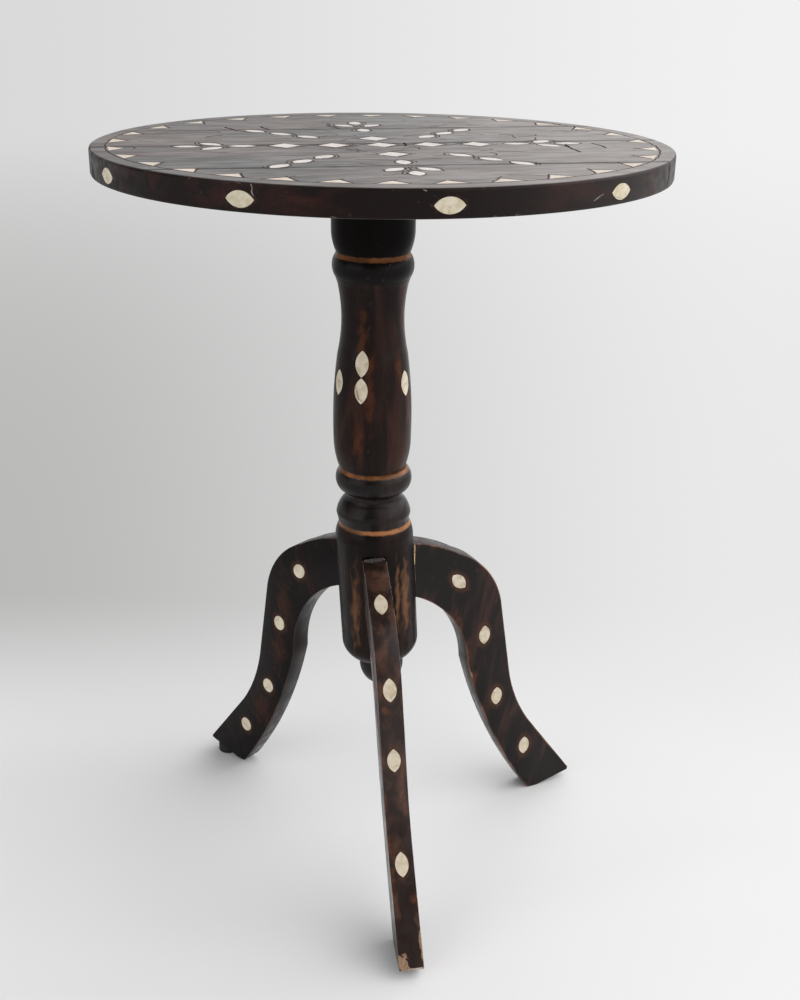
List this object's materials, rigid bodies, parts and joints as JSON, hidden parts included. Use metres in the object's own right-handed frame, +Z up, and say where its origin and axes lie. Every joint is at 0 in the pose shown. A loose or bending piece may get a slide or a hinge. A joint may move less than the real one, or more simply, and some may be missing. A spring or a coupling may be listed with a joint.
{
  "type": "side table",
  "caption": "Small round side table with a plank top, a turned column and sawn S-shaped legs, in dark stained wood with bone inlay.",
  "frame": {"origin": "on the floor, under the centre of the round top", "axes": "+Z up along the axis of the top, -Y towards the front leg, +X to the right as seen from the front"},
  "size_m": [0.42, 0.42, 0.5961],
  "materials": {
    "top_wood": "dark stain, satin, worn",
    "column_wood": "dark stain, satin",
    "leg_wood": "dark stain, satin, worn at the feet",
    "dowel_wood": "raw",
    "pad": "matte",
    "bone": "polished bone, slightly mottled"
  },
  "bodies": {
    "root": {"top_plank_front": "top_wood", "top_plank_mid_front": "top_wood", "top_plank_mid_back": "top_wood", "top_plank_back": "top_wood", "column_cap": "column_wood", "column_vase": "column_wood", "column_reel": "column_wood", "column_drum": "column_wood", "drop_knob": "column_wood", "leg_front": "leg_wood", "leg_left": "leg_wood", "leg_right": "leg_wood", "leg_dowels": "dowel_wood", "foot_pad": "pad", "inlay_diamonds": "bone", "inlay_petals": "bone", "inlay_diagonals": "bone", "inlay_border_triangles": "bone", "inlay_rim": "bone", "inlay_column": "bone", "inlay_leg_front": "bone", "inlay_leg_left": "bone", "inlay_leg_right": "bone"}
  },
  "joints": []
}
